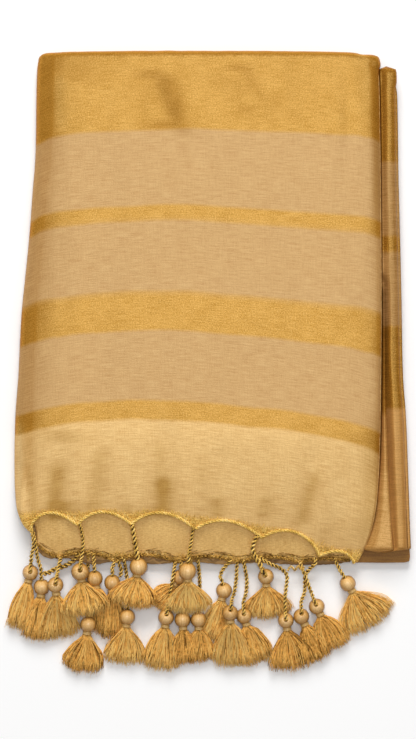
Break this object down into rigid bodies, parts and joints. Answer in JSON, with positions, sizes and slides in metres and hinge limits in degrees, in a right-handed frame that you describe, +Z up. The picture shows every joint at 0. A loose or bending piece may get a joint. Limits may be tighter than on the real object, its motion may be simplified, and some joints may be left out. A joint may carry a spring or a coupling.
{
  "type": "folded saree",
  "caption": "Length of woven cloth folded into a flat rectangular pack, with crossways bands, a scalloped bound end and short tassels on cords.",
  "frame": {"origin": "centre of the underside, on the surface that the folded saree lies on", "axes": "+Z up, -Y towards the tasselled end, +X towards the side where the folded edges show"},
  "size_m": [0.3106, 0.4732, 0.023],
  "materials": {
    "banded_cloth": "soft metallic sheen, woven tissue silk with gold bands",
    "body_cloth": "soft sheen, woven tissue silk",
    "metallic_thread": "bright metallic thread",
    "tassel_thread": "matte cotton thread"
  },
  "bodies": {
    "root": {"base_layers": "body_cloth", "folded_core": "body_cloth", "right_edge_fold": "banded_cloth", "right_roll": "banded_cloth", "right_inner_fold": "banded_cloth", "pallu_top_panel": "banded_cloth", "pallu_under_layer": "banded_cloth", "front_binding": "metallic_thread", "under_binding": "metallic_thread", "cord_01": "metallic_thread", "cord_02a": "metallic_thread", "cord_02b": "metallic_thread", "cord_03": "metallic_thread", "cord_04": "metallic_thread", "cord_05": "metallic_thread", "cord_06a": "metallic_thread", "cord_06b": "metallic_thread", "cord_07": "metallic_thread", "cord_08": "metallic_thread", "cord_09": "metallic_thread", "cord_10": "metallic_thread", "cord_11": "metallic_thread", "cord_12": "metallic_thread", "cord_13": "metallic_thread", "cord_14": "metallic_thread", "cord_15": "metallic_thread", "cord_16": "metallic_thread", "cord_17": "metallic_thread", "cord_18": "metallic_thread", "cord_19": "metallic_thread", "cord_20": "metallic_thread", "cord_21": "metallic_thread", "cord_22": "metallic_thread", "tassel_01": "tassel_thread", "tassel_02": "tassel_thread", "tassel_03": "tassel_thread", "tassel_04": "tassel_thread", "tassel_05": "tassel_thread", "tassel_06": "tassel_thread", "tassel_07": "tassel_thread", "tassel_08": "tassel_thread", "tassel_09": "tassel_thread", "tassel_10": "tassel_thread", "tassel_11": "tassel_thread", "tassel_12": "tassel_thread", "tassel_13": "tassel_thread", "tassel_14": "tassel_thread", "tassel_15": "tassel_thread", "tassel_16": "tassel_thread", "tassel_17": "tassel_thread", "tassel_18": "tassel_thread", "tassel_19": "tassel_thread", "tassel_20": "tassel_thread", "tassel_21": "tassel_thread", "tassel_22": "tassel_thread"}
  },
  "joints": []
}
